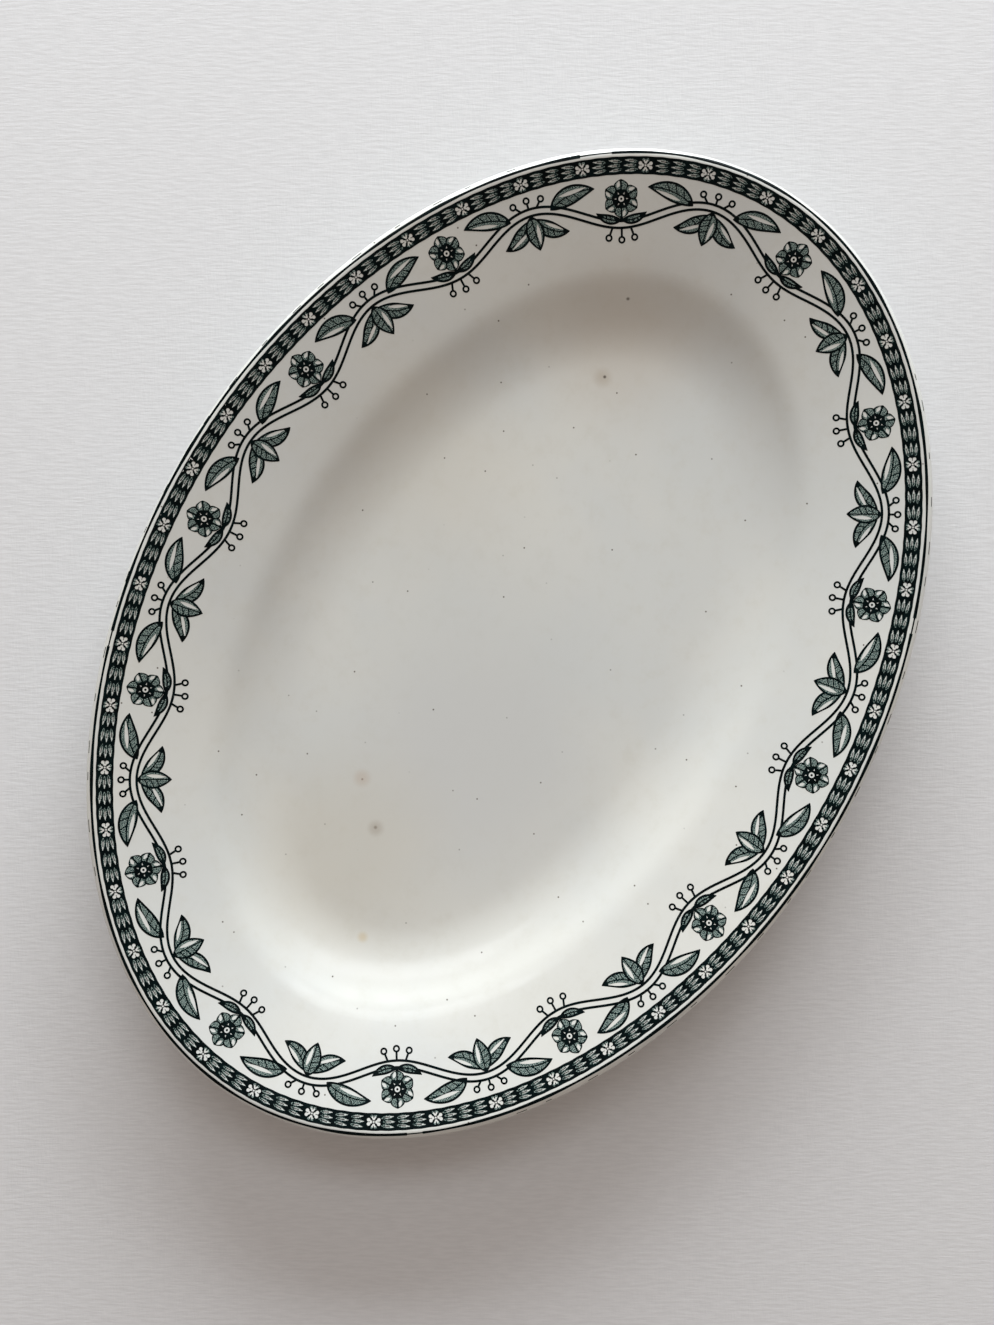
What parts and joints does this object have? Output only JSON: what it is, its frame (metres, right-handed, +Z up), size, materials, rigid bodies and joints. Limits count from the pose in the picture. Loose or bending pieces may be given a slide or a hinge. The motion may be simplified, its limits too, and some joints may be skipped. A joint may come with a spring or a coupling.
{
  "type": "oval serving platter",
  "caption": "Oval serving platter of printed and glazed earthenware with a wide flat rim, a rounded lip, a curved well for food and a low oval foot ring.",
  "frame": {"origin": "centre of the oval on the plane that the foot ring stands on", "axes": "+X along the platter's length, +Y across its width, +Z up out of the well"},
  "size_m": [0.36, 0.256, 0.033],
  "materials": {
    "biscuit": "bare fired earthenware, matte",
    "print": "dark blue-green underglaze print",
    "glaze": "gloss glaze, warm grey-white"
  },
  "bodies": {
    "root": {"biscuit_body": "biscuit", "printed_edge_line": "print", "printed_leaf_band": "print", "glaze_coat": "glaze", "base_glaze": "glaze"}
  },
  "joints": []
}
